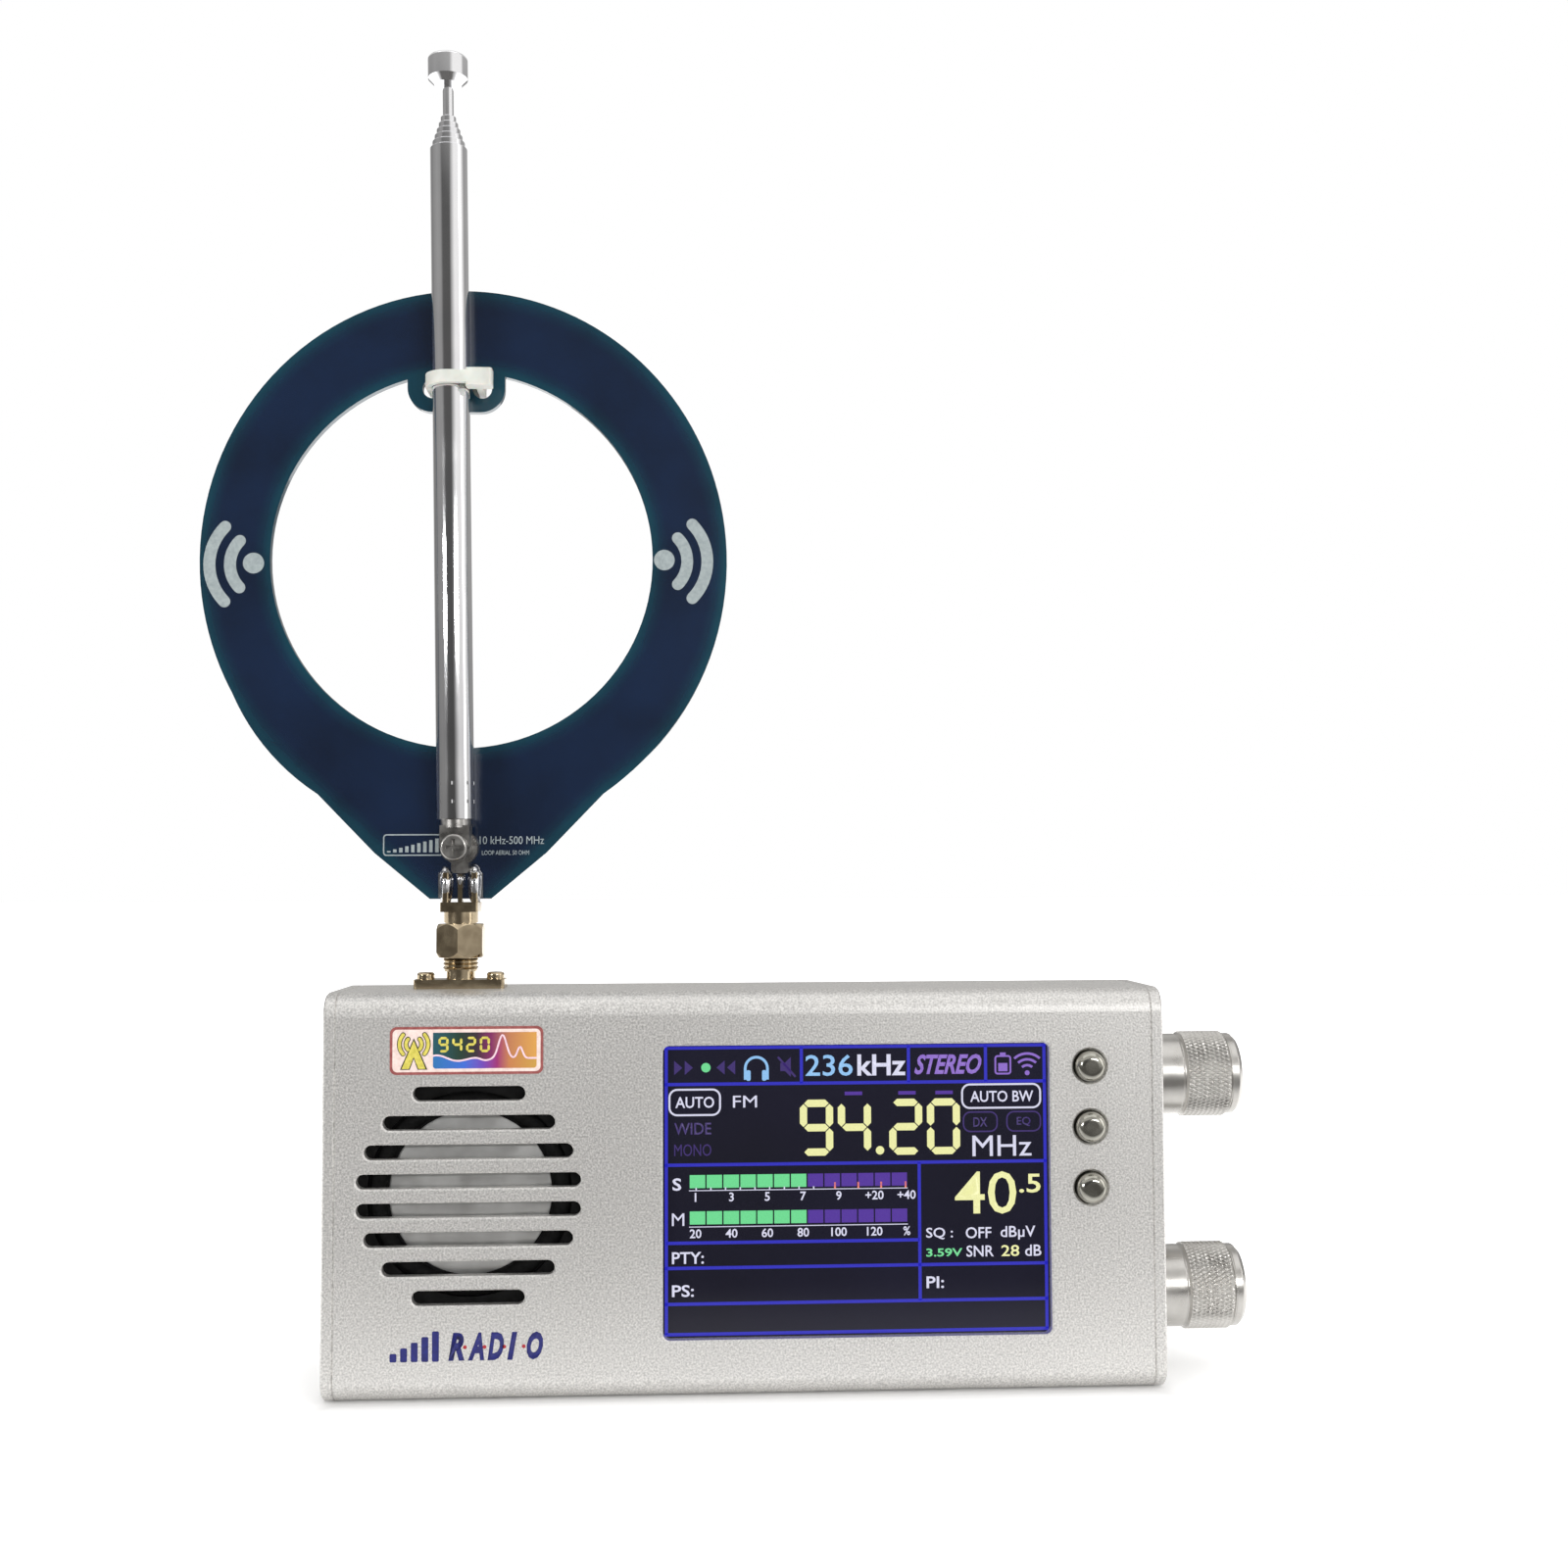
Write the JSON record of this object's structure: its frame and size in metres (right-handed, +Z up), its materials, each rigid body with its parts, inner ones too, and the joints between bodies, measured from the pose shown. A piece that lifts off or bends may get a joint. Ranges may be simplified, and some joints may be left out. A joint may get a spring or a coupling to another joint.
{
  "type": "handheld radio receiver",
  "caption": "Handheld multiband radio in an extruded metal case, with colour display, loudspeaker, push buttons, knurled knobs, and a loop board and telescopic whip on its aerial socket.",
  "frame": {"origin": "centre of the underside of the case", "axes": "+Z up along the aerial, +X towards the knobs, -Y out of the display"},
  "size_m": [0.1838, 0.03, 0.2335],
  "materials": {
    "aluminium_case": "bead-blasted clear anodised",
    "steel": "nickel plated",
    "circuit_board": "green solder mask",
    "module_black": "matt",
    "battery_wrap": "aluminised pouch",
    "screen_glass": "polished",
    "display_frame": "satin",
    "ribbon": "polyimide",
    "speaker_frame": "black",
    "speaker_rubber": "matt",
    "speaker_metal": "satin",
    "black_plastic": "moulded",
    "gold_plate": "gold plated",
    "ptfe": "smooth",
    "lead_sleeve": "smooth",
    "chrome": "polished",
    "knob_metal": "turned and knurled",
    "loop_board": "dark blue solder mask",
    "nylon": "natural nylon",
    "whip_chrome": "polished chrome plate"
  },
  "bodies": {
    "case": {"extruded_shell": "aluminium_case", "left_end_plate": "aluminium_case", "right_end_plate": "aluminium_case", "end_plate_screws": "steel", "encoder_nuts": "steel", "encoder_washers": "steel", "tuning_encoder_bushing": "steel", "volume_encoder_bushing": "steel", "usb_socket": "steel", "tuner_shield": "steel", "main_pcb": "circuit_board", "processor_module": "module_black", "battery": "battery_wrap", "touch_glass": "screen_glass", "lcd_panel": "display_frame", "lcd_ribbon": "ribbon", "speaker_basket": "speaker_frame", "speaker_magnet": "speaker_frame", "speaker_surround": "speaker_rubber", "speaker_cone": "speaker_metal", "tact_switches": "black_plastic", "tuning_encoder_body": "black_plastic", "volume_encoder_body": "black_plastic", "headphone_socket": "black_plastic", "power_switch_body": "black_plastic", "aerial_socket": "gold_plate", "socket_contact": "gold_plate", "socket_screws": "gold_plate", "socket_insulator": "ptfe", "coax_pigtail": "lead_sleeve", "speaker_leads": "lead_sleeve", "battery_leads": "lead_sleeve"},
    "button_1": {"button_1": "chrome"},
    "button_2": {"button_2": "chrome"},
    "button_3": {"button_3": "chrome"},
    "power_switch": {"power_switch_lever": "black_plastic"},
    "tuning_push": {"tuning_push_slider": "black_plastic"},
    "tuning_knob": {"tuning_shaft": "steel", "tuning_knob": "knob_metal", "tuning_grub_screw": "steel"},
    "volume_push": {"volume_push_slider": "black_plastic"},
    "volume_knob": {"volume_shaft": "steel", "volume_knob": "knob_metal", "volume_grub_screw": "steel"},
    "aerial": {"aerial_plug": "gold_plate", "plug_pin": "gold_plate", "loop_board": "loop_board", "cable_tie": "nylon", "whip_lug": "steel", "whip_knuckle": "steel", "pivot_screw": "steel", "whip_section_1": "whip_chrome"},
    "coupling_nut": {"coupling_nut": "gold_plate"},
    "whip_2": {"whip_section_2": "whip_chrome"},
    "whip_3": {"whip_section_3": "whip_chrome"},
    "whip_4": {"whip_section_4": "whip_chrome"},
    "whip_5": {"whip_section_5": "whip_chrome"},
    "whip_6": {"whip_section_6": "whip_chrome"},
    "whip_tip": {"whip_rod": "whip_chrome", "whip_cap": "whip_chrome"}
  },
  "joints": [
    {"name": "button_1_press", "type": "slide", "parent": "case", "child": "button_1", "axis": [0, 1, 0], "range_m": [0, 0.0004], "stiffness_N_per_m": 1500, "springref_m": -0.0005},
    {"name": "button_2_press", "type": "slide", "parent": "case", "child": "button_2", "axis": [0, 1, 0], "range_m": [0, 0.0004], "stiffness_N_per_m": 1500, "springref_m": -0.0005},
    {"name": "button_3_press", "type": "slide", "parent": "case", "child": "button_3", "axis": [0, 1, 0], "range_m": [0, 0.0004], "stiffness_N_per_m": 1500, "springref_m": -0.0005},
    {"name": "power_switch_slide", "type": "slide", "parent": "case", "child": "power_switch", "axis": [0, 0, 1], "range_m": [0, 0.002]},
    {"name": "tuning_push", "type": "slide", "parent": "case", "child": "tuning_push", "axis": [-1, 0, 0], "range_m": [0, 0.0005], "stiffness_N_per_m": 2000, "springref_m": -0.0005},
    {"name": "tuning_turn", "type": "hinge", "parent": "tuning_push", "child": "tuning_knob", "pos_m": [0.08, 0, 0.0519], "axis": [1, 0, 0], "continuous": true},
    {"name": "volume_push", "type": "slide", "parent": "case", "child": "volume_push", "axis": [-1, 0, 0], "range_m": [0, 0.0005], "stiffness_N_per_m": 2000, "springref_m": -0.0005},
    {"name": "volume_turn", "type": "hinge", "parent": "volume_push", "child": "volume_knob", "pos_m": [0.08, 0, 0.01445], "axis": [1, 0, 0], "continuous": true},
    {"name": "aerial_swivel", "type": "hinge", "parent": "case", "child": "aerial", "pos_m": [-0.0502, 0, 0.0775], "axis": [0, 0, 1], "continuous": true},
    {"name": "coupling_nut_spin", "type": "hinge", "parent": "aerial", "child": "coupling_nut", "pos_m": [-0.0502, 0, 0.076], "axis": [0, 0, 1], "continuous": true},
    {"name": "whip_2_slide", "type": "slide", "parent": "aerial", "child": "whip_2", "axis": [-0.0157, 0, 0.9999], "range_m": [0, 0.1]},
    {"name": "whip_3_slide", "type": "slide", "parent": "whip_2", "child": "whip_3", "axis": [-0.0157, 0, 0.9999], "range_m": [0, 0.1]},
    {"name": "whip_4_slide", "type": "slide", "parent": "whip_3", "child": "whip_4", "axis": [-0.0157, 0, 0.9999], "range_m": [0, 0.1]},
    {"name": "whip_5_slide", "type": "slide", "parent": "whip_4", "child": "whip_5", "axis": [-0.0157, 0, 0.9999], "range_m": [0, 0.1]},
    {"name": "whip_6_slide", "type": "slide", "parent": "whip_5", "child": "whip_6", "axis": [-0.0157, 0, 0.9999], "range_m": [0, 0.1]},
    {"name": "whip_tip_slide", "type": "slide", "parent": "whip_6", "child": "whip_tip", "axis": [-0.0157, 0, 0.9999], "range_m": [0, 0.1]}
  ]
}
